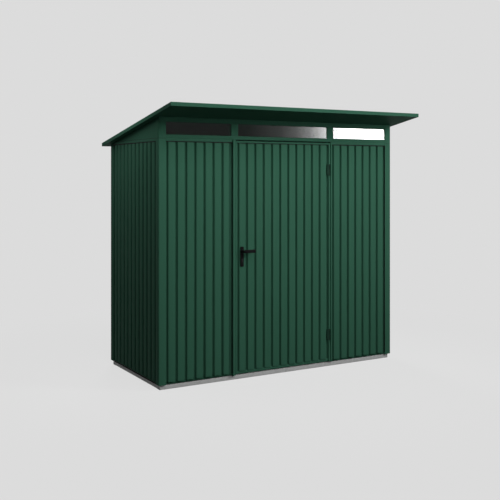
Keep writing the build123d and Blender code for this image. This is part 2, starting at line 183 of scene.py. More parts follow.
def strips(pairs, count, closed=True):
    """Faces between pairs of rings that lie one after the other, each ring with the same count of points."""
    here = np.arange(count if closed else count - 1)
    there = (here + 1) % count
    return np.concatenate([np.stack([here + first * count, there + first * count, there + second * count,
                                     here + second * count], axis=1) for first, second in pairs])


def carry(line, sheet, stops, axes, closed=False, ceiling=None):
    """Folded sheet: a line and its copy set off by the sheet's thickness, carried through the stops.

    A point is origin + a * A + b * B + t * C, where (a, b) runs along the line and t takes each stop in
    turn: a distance, or a function of the points that gives a slanting cut. A ceiling limits the height.
    """
    origin, a_axis, b_axis, c_axis = (np.asarray(axis, float) for axis in axes)
    rings = []
    for inset in (0.0, sheet):
        at = set_off(line, inset, closed)
        flat = origin + at[:, :1] * a_axis + at[:, 1:] * b_axis
        for stop in stops:
            reach = stop(flat) if callable(stop) else np.full(len(flat), stop)
            ring = flat + reach[:, None] * c_axis
            if ceiling:
                ring[:, 2] = np.minimum(ring[:, 2], ceiling(ring) - inset)
            rings.append(ring)
    count, turns = len(line), len(stops)
    steps = np.arange(turns - 1)
    pairs = [*zip(steps, steps + 1), *zip(turns + steps + 1, turns + steps)]
    pairs += [(turns, 0), (turns - 1, 2 * turns - 1)]
    faces = [strips(pairs, count, closed)]
    if not closed:
        edges = np.array([0, count - 1])[:, None, None]
        around = np.stack([steps, steps + 1, steps + turns + 1, steps + turns], axis=1) * count
        faces.append((edges + around).reshape(-1, 4))
    return np.concatenate(rings), faces


def plate(outline, rises, axes):
    """Solid with a shaped rim: a closed outline that steps inwards and onwards through the rises.

    A point is origin + a * A + b * B + h * C, where (a, b) is the outline moved in by a rise's inset and
    h is the rise's height. Flat faces close the first ring and the last.
    """
    origin, a_axis, b_axis, c_axis = (np.asarray(axis, float) for axis in axes)
    lines = [set_off(np.asarray(outline, float), inset, closed=True) for inset, height in rises]
    rings = [origin + line[:, :1] * a_axis + line[:, 1:] * b_axis + rise[1] * c_axis
             for line, rise in zip(lines, rises)]
    count, last = len(outline), len(rises) - 1
    steps = np.arange(last)
    around = np.arange(count)[None]
    return np.concatenate(rings), [strips(zip(steps, steps + 1), count), around, around + last * count]


def joined(*shapes):
    """Several shapes as one: each one's faces count on from the points of those before it."""
    starts = np.cumsum([0] + [len(points) for points, faces in shapes])
    faces = [group + start for (points, groups), start in zip(shapes, starts) for group in groups]
    return np.concatenate([points for points, groups in shapes]), faces


def mesh_piece(name, shape, material, body):
    """Mesh object at the origin from whole arrays, with its normals outwards, riding on a body."""
    points, groups = shape
    mesh = bpy.data.meshes.new(name)
    mesh.from_pydata(points.tolist(), [], [face for group in groups for face in group.tolist()])
    shell = bmesh.new()
    shell.from_mesh(mesh)
    bmesh.ops.recalc_face_normals(shell, faces=shell.faces)
    shell.to_mesh(mesh)
    shell.free()
    mesh.polygons.foreach_set("use_smooth", np.ones(len(mesh.polygons), bool))
    mesh.set_sharp_from_angle(angle=SMOOTH_ANGLE)
    mesh.materials.append(material)
    piece = bpy.data.objects.new(name, mesh)
    bpy.context.scene.collection.objects.link(piece)
    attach(piece, body)
    return piece


def wall_span(node, wall):
    """Reach of a node along its wall, inwards and upwards."""
    corners = np.array([tuple(corner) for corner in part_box(node)])
    origin, along, inwards, up = walls[wall]
    u = np.sort((corners - origin) @ along)
    d = np.sort((corners - origin) @ inwards)
    return (*u, *d, *corners[:, 2])


def base_channel(u0, u1, d0, d1, z0, z1, wall):
    """Channel open inwards: a line folded round the upper flange, web and lower flange, with end plates."""
    origin, along, inwards, up = walls[wall]
    line = rounded([(d1, z1), (d0, z1), (d0, z0), (d1, z0)], BASE_FOLD)
    web = carry(line, BASE_SHEET, (u0, u1), (origin, inwards, up, along))
    end = box_outline(d0 + BASE_SHEET, d1, z0 + BASE_SHEET, z1 - BASE_SHEET)
    ends = [plate(end, ((0.0, u), (0.0, u + BASE_SHEET)), (origin, inwards, up, along))
            for u in (u0, u1 - BASE_SHEET)]
    return joined(web, *ends)


zinc = galvanised("galvanised_sheet")
finish_node("floor_deck", zinc)
for node, wall in (("base_rail_front", "front"), ("base_rail_rear", "rear")):
    rail_span = wall_span(node, wall)
    channel = base_channel(*rail_span, wall)
    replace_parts(mesh_piece("folded_" + node, channel, zinc, "shed"), node)

u0, u1, d0, d1, z0, z1 = rail_span
cross_low, cross_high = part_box("base_cross_rails")
cross_reach = (cross_high.y - cross_low.y) / 2
cross_rails = [base_channel(-cross_reach, cross_reach, d0, d1, z0, z1, wall) for wall in ("left", "right")]
for middle in (u0 / 3, u1 / 3):
    section = box_outline(middle - JOIST_WIDTH / 2, middle + JOIST_WIDTH / 2, z0, z1)
    joist = rounded(section, BASE_FOLD, closed=True)
    cross_rails.append(carry(joist, BASE_SHEET, (cross_low.y, cross_high.y), (0 * X, X, Z, Y), closed=True))
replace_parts(mesh_piece("folded_base_cross_rails", joined(*cross_rails), zinc, "shed"),
            "base_cross_rails")

# Wall frame. Posts, sills and rails are tubes folded from coated steel sheet, screwed together and
# standing on the base; every bend has a small radius. The coat is a satin dark green.
GREEN_LIGHT = (0.0330, 0.1080, 0.0690, 1.0)
GREEN_DEEP = (0.0290, 0.0960, 0.0610, 1.0)
COAT_SPECULAR = 0.012
PEEL_HEIGHT = 0.0002
FOLD_RADIUS = 0.003
TUBE_SHEET = 0.0015
SHEET_BACK = 0.017
BAR_DEPTH = 0.040
FLANGE_DROP = 0.015
TOP_GAP = 0.005
SEAM_GAP = 0.001
DOOR_GAP = 0.006
LOCK_JAMB_PROUD = 0.010
STRIP_EDGE = 0.0008
SOFFIT_SHEET = 0.001

soffit_low, soffit_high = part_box("roof_soffit")
roof_slope = (soffit_high.z - soffit_low.z - SOFFIT_SHEET) / (soffit_high.y - soffit_low.y)
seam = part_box("corner_post_front_left")[1].z


def green_coat(name, streak_stretch, tone=1.0):
    """Satin coil coat: faint cloudy tones drawn out along the rolling direction, and fine orange peel."""
    material, tree, shader, place = new_material(name)
    drawn = add(tree, "Mapping", {"Vector": place, "Scale": streak_stretch}).outputs["Vector"]
    clouds = noise(tree, drawn, 6.0, 4.0, 0.55)
    peel = noise(tree, place, 650.0, 2.0)
    deep, light = (np.append(tone * np.array(green[:3]), 1.0) for green in (GREEN_DEEP, GREEN_LIGHT))
    feed(shader, {"Base Color": two_tones(tree, clouds, deep, light),
                  "Roughness": span(tree, clouds, 0.48, 0.60),
                  "Normal": relief(tree, peel, 0.05, PEEL_HEIGHT), "Specular IOR Level": COAT_SPECULAR})
    return material


def under_roof(points):
    """Height of the roof's underside over each point: it falls evenly from the front to the rear."""
    return soffit_low.z + roof_slope * (soffit_high.y - points[..., 1])


def upright_tube(low_x, high_x, low_y, high_y, foot, top):
    """Post with a folded section; its top is a height, or a function that cuts it to the roof's slope."""
    outline = rounded(box_outline(low_x, high_x, low_y, high_y), FOLD_RADIUS, closed=True)
    return carry(outline, TUBE_SHEET, (foot, top), (0 * X, X, Y, Z), closed=True)


def level_tube(outline, low_x, high_x):
    """Bar with a folded section given as (y, z) corners, carried along X."""
    line = rounded(outline, FOLD_RADIUS, closed=True)
    return carry(line, TUBE_SHEET, (low_x, high_x), (0 * X, Y, Z, X), closed=True)


def wall_bar(outline, wall, stops, ceiling=None):
    """Bar along a wall, its folded section given as (depth, height) corners."""
    origin, along, inwards, up = walls[wall]
    line = rounded(outline, FOLD_RADIUS, closed=True)
    return carry(line, TUBE_SHEET, stops, (origin, inwards, up, along), closed=True, ceiling=ceiling)


def rail_section(sheet_top, face_top, rear_top):
    """Corners of a top rail: a nose over the sheet's edge and a flange behind the sheet."""
    nose, flange, rear = sheet_top + TOP_GAP, sheet_top - FLANGE_DROP, SHEET_BACK + BAR_DEPTH
    return [(SHEET_BACK, nose), (SHEET_BACK, flange), (rear, flange), (rear, rear_top),
            (0.0, face_top), (0.0, nose)]


def folded(node, shape, coat, body="shed"):
    """Green folded piece in place of its CAD node."""
    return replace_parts(mesh_piece("folded_" + node, shape, coat, body), node)


upright_coat = green_coat("green_coat_upright", (1.0, 1.0, 0.15))
level_coat = green_coat("green_coat_level", (0.15, 1.0, 1.0))

post_tops = {"corner_post_front": seam - SEAM_GAP, "corner_post_rear": under_roof,
             "door_post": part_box("door_post_left")[1].z}
for kind, top in post_tops.items():
    for node in (kind + "_left", kind + "_right"):
        low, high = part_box(node)
        folded(node, upright_tube(low.x, high.x, low.y, high.y, low.z, top), upright_coat)
low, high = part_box("rear_joint_strip")
section = rounded(box_outline(low.x, high.x, low.y, high.y), STRIP_EDGE, closed=True)
strip = plate(section, ((0.0, low.z), (0.0, high.z)), (0 * X, X, Y, Z))
folded("rear_joint_strip", strip, upright_coat)
low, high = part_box("door_head")
folded("door_head", level_tube(box_outline(low.y, high.y, low.z, high.z), low.x, high.x), level_coat)

# The jamb at the lock side stands proud of the sheets and has a cap of its own
leaf_low, leaf_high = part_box("door_stiles")
low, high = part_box("door_jambs")
lock_edge, hinge_edge = leaf_low.x - DOOR_GAP, leaf_high.x + DOOR_GAP
jamb_top = high.z - SEAM_GAP
lock_jamb = upright_tube(low.x, lock_edge, low.y - LOCK_JAMB_PROUD, high.y, low.z, jamb_top)
hinge_jamb = upright_tube(hinge_edge, high.x, low.y, high.y, low.z, jamb_top)
cap = rounded(box_outline(low.x, lock_edge, low.y - LOCK_JAMB_PROUD, high.y), FOLD_RADIUS, closed=True)
jamb_cap = plate(cap, ((TUBE_SHEET, jamb_top - TUBE_SHEET), (TUBE_SHEET, jamb_top)), (0 * X, X, Y, Z))
folded("door_jambs", joined(lock_jamb, hinge_jamb, jamb_cap), upright_coat)

# Sills and top rails reach as far along their walls as the ribbed sheets
ribbed_walls = {"front_panel_left": "front", "front_panel_right": "front", "left_panel": "left",
                "right_panel": "right", "rear_panel_left": "rear", "rear_panel_right": "rear"}
spans = {node: wall_span(node, wall) for node, wall in ribbed_walls.items()}
rear_reach = (spans["rear_panel_right"][0], spans["rear_panel_left"][1])
bars = (("front", spans["front_panel_left"][:2]), ("front", spans["front_panel_right"][:2]),
        ("rear", rear_reach), ("left", spans["left_panel"][:2]), ("right", spans["right_panel"][:2]))
low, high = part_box("wall_sills")
sill = box_outline(SHEET_BACK, SHEET_BACK + BAR_DEPTH, low.z, high.z)
folded("wall_sills", joined(*[wall_bar(sill, wall, reach) for wall, reach in bars]), level_coat)

# The side rails run level up to where the roof comes down to them; the rear rail lies under the slope
sheet_top, rear_sheet_top = spans["left_panel"][5], spans["rear_panel_left"][5]
rail = rail_section(sheet_top, seam, seam)
rear_edges = np.array([rear_y * Y, (rear_y - SHEET_BACK - BAR_DEPTH) * Y])
rear_rail = rail_section(rear_sheet_top, *under_roof(rear_edges))
roof_meets = soffit_high.y - (seam - soffit_low.z) / roof_slope - mid_y
rails = [wall_bar(rail, wall, reach) for wall, reach in bars[:2]] + [wall_bar(rear_rail, *bars[2])]
for wall, (u0, u1) in bars[3:]:
    rails.append(wall_bar(rail, wall, (u0, roof_meets, u1), under_roof))
folded("wall_top_rails", joined(*rails), level_coat)

# Wall sheets. Coil-coated steel is rolled into flat ribs between narrow grooves. Each sheet hangs between
# two posts, screwed through its grooves. The black strips above it and at its foot are painted shade: the
# upper one fills the gap under the rail like a foam closure and laps the sheet's edge to draw the shadow
# line there, the lower one stands for the shadow over the base. The front ones have a black bead along one
# edge, painted shade for the shadowed side of the post beside it.
RIB_PITCH = 0.084
GROOVE_MOUTH = 0.024
GROOVE_FLOOR = 0.012
GROOVE_DEPTH = 0.016
GROOVE_EDGE = 0.008
EDGE_RECESS = 0.035
LAST_RIB_CUT = 0.009
SHEET = 0.001
RIM_RADIUS = 0.0025
# The closure lip, the edge bead and the foot strips are black pieces of painted shade along shadow lines.
PAINTED_SHADE_LIP = 0.0025
PAINTED_SHADE_LIP_PROUD = 0.0008
SHADE_BEAD_WIDTH = 0.0008
SHADE_BEAD_FRONT = 0.0008
BEAD_RADIUS = 0.0005
SHADE_FOOT_FRONT = 0.015
SHADE_FOOT_HEIGHTS = {"front": 0.002, "rear": 0.002, "left": 0.009, "right": 0.009}
SCREW_WASHER = 0.0052
SCREW_ROWS = (0.010, -0.0075)
MATT_SPECULAR = 0.02
GRAIN_HEIGHT = 0.0002
SEAL_AND_SHADE_BLACK = (0.012, 0.012, 0.013, 1.0)
SEAL_AND_SHADE_GREY = (0.022, 0.022, 0.023, 1.0)


def soft_finish(name, dark, pale, low_rough, high_rough, grain_scale):
    """Matt moulded or painted surface with a fine grain in tone and height."""
    material, tree, shader, place = new_material(name)
    grain = noise(tree, place, grain_scale, 4.0)
    feed(shader, {"Base Color": two_tones(tree, grain, dark, pale),
                  "Roughness": span(tree, grain, low_rough, high_rough),
                  "Normal": relief(tree, grain, 0.06, GRAIN_HEIGHT), "Specular IOR Level": MATT_SPECULAR})
    return material


def groove_centres(u0, u1, recess, rib_cut):
    """Middles of the grooves: even ribs from the left edge, the last rib narrower before a wide recess."""
    first, last_bend = u0 + GROOVE_EDGE, u1 - recess
    span_u = last_bend + rib_cut + GROOVE_MOUTH / 2 - first
    ribs = round(span_u / RIB_PITCH)
    return np.append(first + span_u / ribs * np.arange(ribs), last_bend + GROOVE_MOUTH / 2)


def ribbed_line(u0, u1, recess, rib_cut):
    """Front line of a ribbed sheet: trapezoid grooves, the outer ones running out level at both edges."""
    across = np.array([-GROOVE_MOUTH, -GROOVE_FLOOR, GROOVE_FLOOR, GROOVE_MOUTH]) / 2
    along = (groove_centres(u0, u1, recess, rib_cut)[:, None] + across).reshape(-1)[2:-2]
    depth = np.tile([0.0, GROOVE_DEPTH, GROOVE_DEPTH, 0.0], len(along) // 4 + 1)[2:2 + len(along)]
    inner = np.stack([along, depth], axis=1)
    return np.concatenate([[(u0, GROOVE_DEPTH)], inner, [(u1, GROOVE_DEPTH)]])


def ring_outline(radius, count=16):
    """Points round a circle, anticlockwise."""
    turn = np.linspace(0.0, 2 * np.pi, count, endpoint=False)
    return radius * np.stack([np.cos(turn), np.sin(turn)], axis=1)


def screw_head(a_axis, b_axis, out, washer):
    """Hexagon head on a round washer at the origin; all its sizes follow the washer's radius."""
    axes = (0 * X, a_axis, b_axis, out)
    disc = plate(ring_outline(washer), ((0.0, 0.0), (0.0, washer / 5), (washer / 8, washer / 3)), axes)
    low, high = washer / 3, washer
    head = plate(ring_outline(washer * 0.6, 6), ((0.0, low), (0.0, high * 0.9), (washer / 10, high)), axes)
    return joined(disc, head)


def repeated(shape, places):
    """The same shape at many places: a copy of its points for each place, and its faces counted on."""
    points, groups = shape
    copies = (np.asarray(places, float)[:, None, :] + points).reshape(-1, 3)
    starts = len(points) * np.arange(len(places))[:, None, None]
    return copies, [(starts + group).reshape(-1, group.shape[1]) for group in groups]


def ribbed_sheet(node, wall, body, recess=EDGE_RECESS, rib_cut=LAST_RIB_CUT):
    """Ribbed sheet with rolled bends in place of its CAD node; gives back the screws in its grooves."""
    u0, u1, d0, d1, z0, z1 = wall_span(node, wall)
    origin, along, inwards, up = walls[wall]
    line = rounded(ribbed_line(u0, u1, recess, rib_cut), RIM_RADIUS)
    sheet = carry(line, SHEET, (z0, z1), walls[wall])
    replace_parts(mesh_piece("ribbed_" + node, sheet, upright_coat, body), node)
    centres = groove_centres(u0, u1, recess, rib_cut)[1:-1]
    across, rise = np.meshgrid(centres, (z0 + SCREW_ROWS[0], z1 + SCREW_ROWS[1]))
    spots = origin + GROOVE_DEPTH * inwards + across.reshape(-1, 1) * along + rise.reshape(-1, 1) * up
    return repeated(screw_head(along, up, -inwards, SCREW_WASHER), spots)


def closure_with_painted_shade(node, wall, gap):
    """Black strip in the gap over a sheet, with a lip over the sheet's edge: a closure and painted shade."""
    u0, u1, d0, d1, z0, z1 = wall_span(node, wall)
    origin, along, inwards, up = walls[wall]
    strip_rises = ((0.0, 0.0), (0.0, SHEET_BACK))
    strip = plate(box_outline(u0, u1, z1, z1 + gap), strip_rises, (origin, along, up, inwards))
    lip_rises = ((0.0, 0.0), (PAINTED_SHADE_LIP_PROUD / 2, PAINTED_SHADE_LIP_PROUD))
    lip = plate(box_outline(u0, u1, z1 - PAINTED_SHADE_LIP, z1 + gap), lip_rises, (origin, along, up, -inwards))
    return joined(strip, lip)


def painted_shade_bead(node, wall):
    """Black bead up the edge of a sheet's wide recess, against the post beside it: painted shade for its
    side.
    """
    u0, u1, d0, d1, z0, z1 = wall_span(node, wall)
    origin, along, inwards, up = walls[wall]
    rises = ((0.0, -GROOVE_DEPTH), (0.0, -SHADE_BEAD_FRONT - BEAD_RADIUS), (BEAD_RADIUS, -SHADE_BEAD_FRONT))
    return plate(box_outline(u1 - SHADE_BEAD_WIDTH, u1, z0, z1), rises, (origin, along, up, -inwards))


def painted_shade_foot_strip(node, wall, height):
    """Black strip under a sheet, on the face of the base: painted shade for the shadow the sheet casts
    there.
    """
    u0, u1, d0, d1, z0, z1 = wall_span(node, wall)
    origin, along, inwards, up = walls[wall]
    base_span = wall_span("base_rail_front", "front")
    base_face, base_top = base_span[2], base_span[5]
    rises = ((0.0, SHADE_FOOT_FRONT), (0.0, base_face))
    return plate(box_outline(u0, u1, base_top - height, base_top), rises, (origin, along, up, inwards))


# One black rubber finish serves the real seals and the strips, lips and bead that are painted shade.
seal_rubber_and_painted_shade = soft_finish("seal_rubber_and_painted_shade", SEAL_AND_SHADE_BLACK, SEAL_AND_SHADE_GREY, 0.55, 0.75, 420.0)
screws = [ribbed_sheet(node, wall, "shed") for node, wall in ribbed_walls.items()]
mesh_piece("wall_sheet_screws", joined(*screws), level_coat, "shed")
# Painted shade: black strips over and under each sheet, and a black bead at each front recess.
closures_and_painted_shade = [closure_with_painted_shade(node, wall, TOP_GAP) for node, wall in ribbed_walls.items()]
closures_and_painted_shade += [painted_shade_bead(node, "front") for node in ("front_panel_left", "front_panel_right")]
closures_and_painted_shade += [painted_shade_foot_strip(node, wall, SHADE_FOOT_HEIGHTS[wall]) for node, wall in ribbed_walls.items()]
mesh_piece("wall_sheet_closures_and_painted_shade", joined(*closures_and_painted_shade), seal_rubber_and_painted_shade, "shed")

# Window row and gables. Folded bars and mullions frame three fixed clear panes under the roof, each
# bedded in a thin black seal. Its end posts stand on gaskets, and a plain sheet wedge on a black seal
# closes each side up to the roof.
GLASS_IOR = 1.5
GLASS_DUSTY = (0.86, 0.88, 0.88, 1.0)
GLASS_CLEAR = (0.92, 0.93, 0.93, 1.0)
PANE_SETBACK = 0.007
PANE_SEAL_WIDTH = 0.0015
PANE_SEAL_PROUD = 0.001
MULLION_WIDTH = 0.068
GABLE_SEAL_DEPTH = 0.006
GASKET_INSET = 0.0004


def clear_pane(name):
    """Clear glazing with a faint film of dust."""
    material, tree, shader, place = new_material(name)
    film = noise(tree, place, 14.0, 3.0)
    feed(shader, {"Base Color": two_tones(tree, film, GLASS_DUSTY, GLASS_CLEAR),
                  "Roughness": span(tree, film, 0.0, 0.003), "Transmission Weight": 1.0, "IOR": GLASS_IOR})
    return material


low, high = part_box("window_sill")
folded("window_sill", level_tube(box_outline(low.y, high.y, low.z, high.z), low.x, high.x), level_coat)
low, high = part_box("window_head")
front_top, rear_top = under_roof(np.array([low.y * Y, high.y * Y]))
head = [(low.y, low.z), (high.y, low.z), (high.y, rear_top), (low.y, front_top)]
folded("window_head", level_tube(head, low.x, high.x), level_coat)

low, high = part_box("window_corner_posts")
post_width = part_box("corner_post_front_left")[1].x - low.x
corner_posts = [upright_tube(x0, x0 + post_width, low.y, high.y, low.z + SEAM_GAP, under_roof)
                for x0 in (low.x, high.x - post_width)]
folded("window_corner_posts", joined(*corner_posts), upright_coat)
gaskets = []
for x0 in (low.x, high.x - post_width):
    section = rounded(box_outline(x0, x0 + post_width, low.y, high.y), FOLD_RADIUS, closed=True)
    rises = ((GASKET_INSET, seam - SEAM_GAP), (GASKET_INSET, seam + SEAM_GAP))
    gaskets.append(plate(section, rises, (0 * X, X, Y, Z)))
mesh_piece("post_gaskets", joined(*gaskets), seal_rubber_and_painted_shade, "shed")
low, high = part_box("window_mullions")
mullions = [upright_tube(x0, x0 + MULLION_WIDTH, low.y, high.y, low.z, high.z)
            for x0 in (low.x, high.x - MULLION_WIDTH)]
folded("window_mullions", joined(*mullions), upright_coat)

glazing = clear_pane("clear_glazing")
pane_seals = []
for node in ("window_pane_left", "window_pane_centre", "window_pane_right"):
    low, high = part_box(node)
    face = front_y + PANE_SETBACK
    rim = box_outline(low.x, high.x, low.z, high.z)
    pane = plate(rim, ((0.0, 0.0), (0.0, high.y - low.y)), (face * Y, X, Z, Y))
    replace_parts(mesh_piece("glazed_" + node, pane, glazing, "shed"), node)
    seal_stops = (face - PANE_SEAL_PROUD, face)
    pane_seals.append(carry(rim, PANE_SEAL_WIDTH, seal_stops, (0 * X, X, Z, Y), closed=True))
mesh_piece("pane_seals", joined(*pane_seals), seal_rubber_and_painted_shade, "shed")

gable_seals = []
for node, side in (("gable_left", -1.0), ("gable_right", 1.0)):
    finish_node(node, level_coat)
    low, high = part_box(node)
    tip = under_roof(high.y * Y)
    wedge = [(low.y, seam), (mid_y + roof_meets, seam), (high.y, tip), (high.y, low.z), (low.y, low.z)]
    face = max(side * low.x, side * high.x)
    axes = (side * face * X, Y, Z, -side * X)
    gable_seals.append(plate(wedge, ((0.0, 0.0), (0.0, GABLE_SEAL_DEPTH)), axes))
mesh_piece("gable_seals", joined(*gable_seals), seal_rubber_and_painted_shade, "shed")

# Roof. A flat sheet closes the roof from below, ribbed sheets lie on it, screwed down through their ribs,
# and a folded trim runs round the edge with mitred corners, its lip over the ends of the ribs.
ROOF_SHEETS = 3
ROOF_RIBS = 4
ROOF_RIB_FOOT = 0.046
ROOF_RIB_CROWN = 0.022
ROOF_RIB_HEIGHT = 0.020
ROOF_SHEET = 0.001
FASCIA_HEIGHT = 0.031
FASCIA_LIP = 0.026
FASCIA_SHEET = 0.0015
ROOF_WASHER = 0.008
ROOF_SCREW_EDGE = 0.060
TRIM_PAINTED_SHADE = 0.88

slope_coat = green_coat("green_coat_roof", (1.0, 0.15, 1.0))
# The trim's coat is the sheets' green made darker: painted shade for the dimmer light on the fascia. The
# hinge knuckles and lugs share it.
trim_painted_shade_coat = green_coat("green_coat_trim_painted_shade", (0.15, 1.0, 1.0), TRIM_PAINTED_SHADE)
finish_node("roof_soffit", slope_coat)
down_slope = Y - roof_slope * Z
roof_origin = (soffit_low.z + roof_slope * soffit_high.y) * Z
roof_low, roof_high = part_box("fascia_front")[0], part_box("fascia_rear")[1]
roof_half = roof_high.x


def roof_line(x0, x1):
    """Lower line of a roof sheet: flat between even trapezoid ribs that stand up from it."""
    spacing = (x1 - x0) / ROOF_RIBS
    centres = x0 + spacing * (np.arange(ROOF_RIBS) + 0.5)
    across = np.array([-ROOF_RIB_FOOT, -ROOF_RIB_CROWN, ROOF_RIB_CROWN, ROOF_RIB_FOOT]) / 2
    rise = np.tile([0.0, ROOF_RIB_HEIGHT, ROOF_RIB_HEIGHT, 0.0], ROOF_RIBS)
    ribs = np.stack([(centres[:, None] + across).reshape(-1), rise], axis=1)
    return centres, np.concatenate([[(x0, 0.0)], ribs, [(x1, 0.0)]])


crowns = []
for index in range(ROOF_SHEETS):
    node = f"roof_sheet_{index + 1}"
    low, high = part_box(node)
    centres, line = roof_line(low.x, high.x)
    crowns.append(centres)
    axes = (roof_origin + SOFFIT_SHEET * Z, X, Z, down_slope)
    sheet = carry(rounded(line, RIM_RADIUS), ROOF_SHEET, (low.y, high.y), axes)
    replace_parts(mesh_piece("ribbed_" + node, sheet, slope_coat, "shed"), node)

rows = (low.y + ROOF_SCREW_EDGE, (low.y + high.y) / 2, high.y - ROOF_SCREW_EDGE)
across, rows = np.meshgrid(np.concatenate(crowns), rows)
crown_height = SOFFIT_SHEET + ROOF_RIB_HEIGHT + ROOF_SHEET
spots = roof_origin + crown_height * Z + across.reshape(-1, 1) * X + rows.reshape(-1, 1) * down_slope
steepness = np.hypot(1.0, roof_slope)
roof_screw = screw_head(X, down_slope / steepness, (Z + roof_slope * Y) / steepness, ROOF_WASHER)
mesh_piece("roof_screws", repeated(roof_screw, spots), level_coat, "shed")


def fascia_across(node, edge_y, inwards):
    """Folded trim along the front or rear edge: a web and a lip, mitred at both ends."""
    lip_y = edge_y + inwards * FASCIA_LIP
    bottom, lip = under_roof(np.array([edge_y * Y, lip_y * Y]))
    line = [(edge_y, bottom), (edge_y, bottom + FASCIA_HEIGHT), (lip_y, lip + FASCIA_HEIGHT)]
    line = line[::-int(inwards)]

    def reach(at):
        """Half length over each point: the mitre takes off as much as the point lies inwards."""
        return roof_half - np.abs(at[:, 1] - edge_y)

    stops = (lambda at: -reach(at), reach)
    shape = carry(rounded(line, FOLD_RADIUS), FASCIA_SHEET, stops, (0 * X, Y, Z, X))
    folded(node, shape, trim_painted_shade_coat)


def fascia_along(side):
    """Folded trim down a side edge, mitred into the trims across."""
    edge_x, lip_x = side * roof_half, side * (roof_half - FASCIA_LIP)
    line = [(edge_x, 0.0), (edge_x, FASCIA_HEIGHT), (lip_x, FASCIA_HEIGHT)][::int(side)]

    def inset(at):
        """How far each point lies inwards of the roof's side edge."""
        return roof_half - np.abs(at[:, 0])

    stops = (lambda at: roof_low.y + inset(at), lambda at: roof_high.y - inset(at))
    axes = (roof_origin, X, Z, down_slope)
    return carry(rounded(line, FOLD_RADIUS), FASCIA_SHEET, stops, axes)


fascia_across("fascia_front", roof_low.y, 1.0)
fascia_across("fascia_rear", roof_high.y, -1.0)
folded("fascia_sides", joined(fascia_along(-1.0), fascia_along(1.0)), trim_painted_shade_coat)

# Door leaf. The same ribbed sheet sits between two stiles and two rails folded from thicker sheet, with foam
# in the feet of its ribs; the bottom rail is set back. A green lip closes the gap at the lock side, and
# black seals on the posts take the leaf when it is shut.
DOOR_EDGE_RECESS = 0.0315
STILE_WIDTH = 0.015
HINGE_STILE_WIDTH = 0.0175
DOOR_TOP_GAP = 0.003
BOTTOM_RAIL_SET = 0.007
LIP_WIDTH = 0.0038
LIP_DEPTHS = (0.0003, 0.012)
REST_SEAL = 0.003
REST_WIDTH = 0.014
PLUG_HEIGHT = 0.003
FILLER_HEIGHT = 0.004
FILLER_BACK = 0.018


def rib_fillers(node, wall, recess, rib_cut):
    """Foam in the foot of each rib: the sheet's inner line, closed by a narrow strip behind it."""
    u0, u1, d0, d1, z0, z1 = wall_span(node, wall)
    line = set_off(rounded(ribbed_line(u0, u1, recess, rib_cut), RIM_RADIUS), SHEET)
    comb = np.concatenate([line, [(u1, FILLER_BACK), (u0, FILLER_BACK)]])
    return plate(comb, ((0.0, z0), (0.0, z0 + FILLER_HEIGHT)), walls[wall])


low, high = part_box("door_rails")
panel_low, panel_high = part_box("door_panel")
stile_sides = ((leaf_low.x, leaf_low.x + STILE_WIDTH), (leaf_high.x - HINGE_STILE_WIDTH, leaf_high.x))
stiles = [upright_tube(*sides, leaf_low.y, leaf_high.y, leaf_low.z, leaf_high.z) for sides in stile_sides]
folded("door_stiles", joined(*stiles), upright_coat, "door")
bottom_rail = box_outline(low.y + BOTTOM_RAIL_SET, high.y, low.z, panel_low.z)
top_rail = box_outline(low.y, high.y, panel_high.z + DOOR_TOP_GAP, high.z)
rail_tubes = [level_tube(outline, low.x, high.x) for outline in (bottom_rail, top_rail)]
folded("door_rails", joined(*rail_tubes), level_coat, "door")

door_screws = ribbed_sheet("door_panel", "front", "door", DOOR_EDGE_RECESS, 0.0)
mesh_piece("door_sheet_screws", door_screws, level_coat, "door")
# The black strip and lip over the leaf's sheet are painted shade for the line under the top rail, as on the
# walls.
door_closure_with_painted_shade = closure_with_painted_shade("door_panel", "front", DOOR_TOP_GAP)
fillers = rib_fillers("door_panel", "front", DOOR_EDGE_RECESS, 0.0)
plugs = []
for sides in stile_sides:
    hole = box_outline(*sides, leaf_low.y, leaf_high.y)
    for z in (leaf_low.z, leaf_high.z - PLUG_HEIGHT):
        rises = ((TUBE_SHEET, z), (TUBE_SHEET, z + PLUG_HEIGHT))
        plugs.append(plate(rounded(hole, FOLD_RADIUS, closed=True), rises, (0 * X, X, Y, Z)))
mesh_piece("door_closures_and_painted_shade", joined(door_closure_with_painted_shade, fillers, *plugs), seal_rubber_and_painted_shade, "door")

lip_green = soft_finish("edge_lip_green", GREEN_DEEP, GREEN_LIGHT, 0.60, 0.80, 420.0)
lip_sides = (lock_edge, lock_edge + LIP_WIDTH, front_y + LIP_DEPTHS[0], front_y + LIP_DEPTHS[1])
lip_section = rounded(box_outline(*lip_sides), FOLD_RADIUS / 3, closed=True)
lip = plate(lip_section, ((0.0, leaf_low.z), (0.0, leaf_high.z)), (0 * X, X, Y, Z))
mesh_piece("lock_edge_lip", lip, lip_green, "shed")

post_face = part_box("door_post_left")[0].y
head_low, head_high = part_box("door_head")
rest_left, rest_right = head_low.x - REST_WIDTH, head_high.x + REST_WIDTH
rest_sides = ((rest_left, head_low.x, leaf_low.z, head_low.z),
              (head_high.x, rest_right, leaf_low.z, head_low.z),
              (rest_left, rest_right, leaf_high.z - REST_WIDTH, seam - SEAM_GAP))
rises = ((0.0, 0.0), (0.0, REST_SEAL - BEAD_RADIUS), (BEAD_RADIUS, REST_SEAL))
rests = [plate(box_outline(*sides), rises, (post_face * Y, X, Z, -Y)) for sides in rest_sides]
mesh_piece("door_rest_seals", joined(*rests), seal_rubber_and_painted_shade, "shed")

